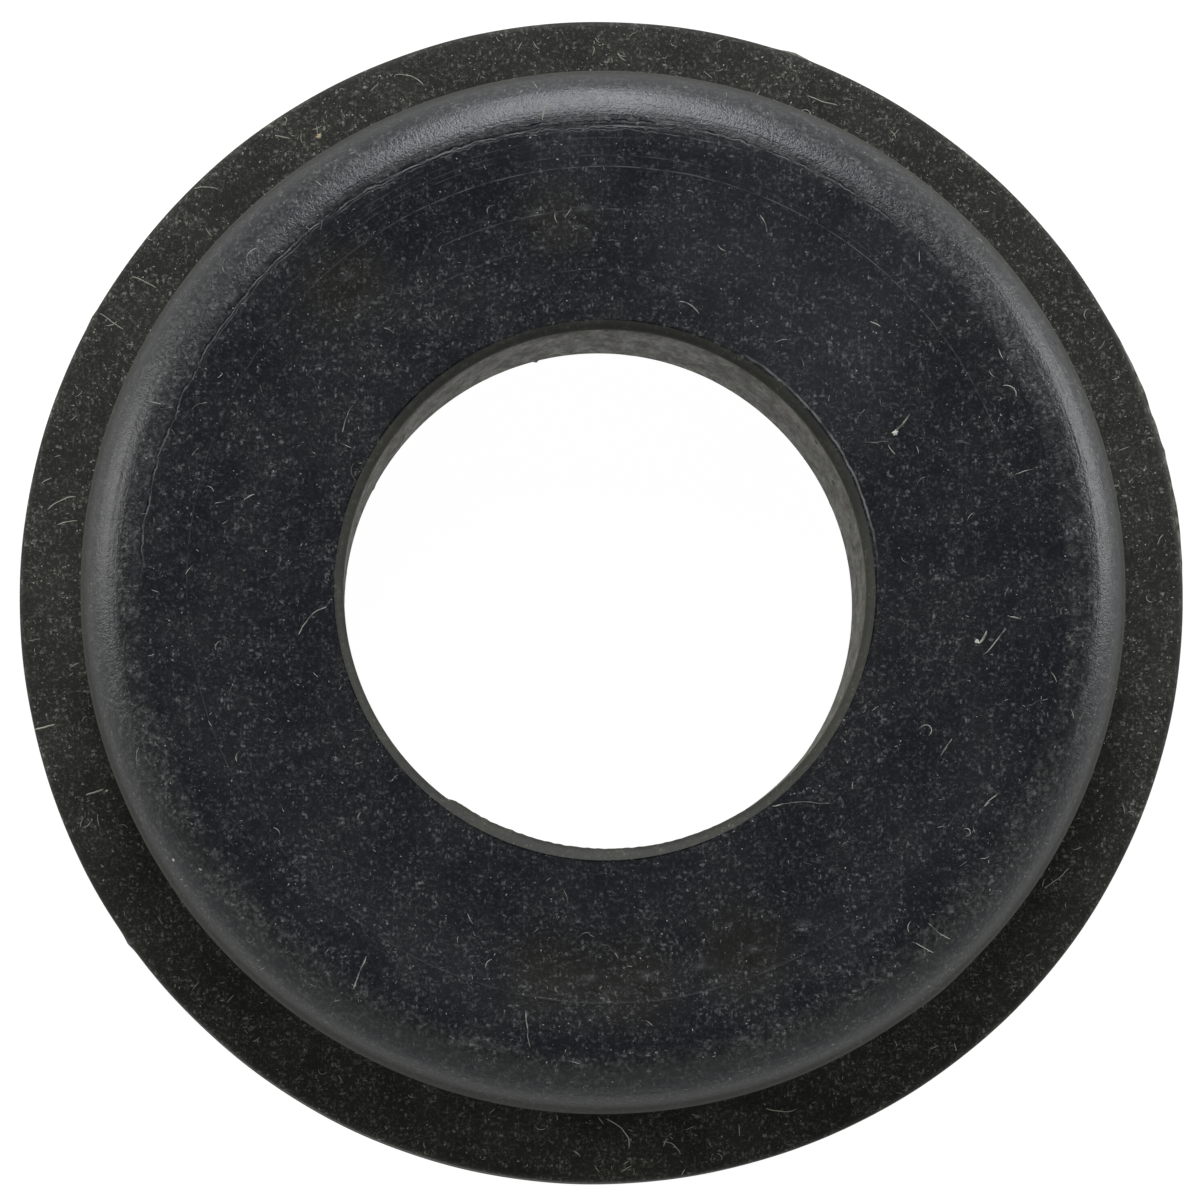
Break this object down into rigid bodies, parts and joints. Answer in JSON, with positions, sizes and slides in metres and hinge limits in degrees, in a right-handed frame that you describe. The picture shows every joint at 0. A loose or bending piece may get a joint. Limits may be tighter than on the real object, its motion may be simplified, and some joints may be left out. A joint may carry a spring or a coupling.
{
  "type": "rubber grommet",
  "caption": "Round push-in rubber grommet: a broad flange, a groove that grips the edge of a panel hole, a round-shouldered nose, and a plain central bore that grips a tube.",
  "frame": {"origin": "centre of the flange's outer face, which the grommet rests on", "axes": "+Z along the bore's axis, from the flange towards the nose; the part is round about Z"},
  "size_m": [0.042, 0.042, 0.012],
  "materials": {
    "black_rubber": "matte moulded black rubber with a satin shoulder"
  },
  "bodies": {
    "root": {"grommet": "black_rubber"}
  },
  "joints": []
}
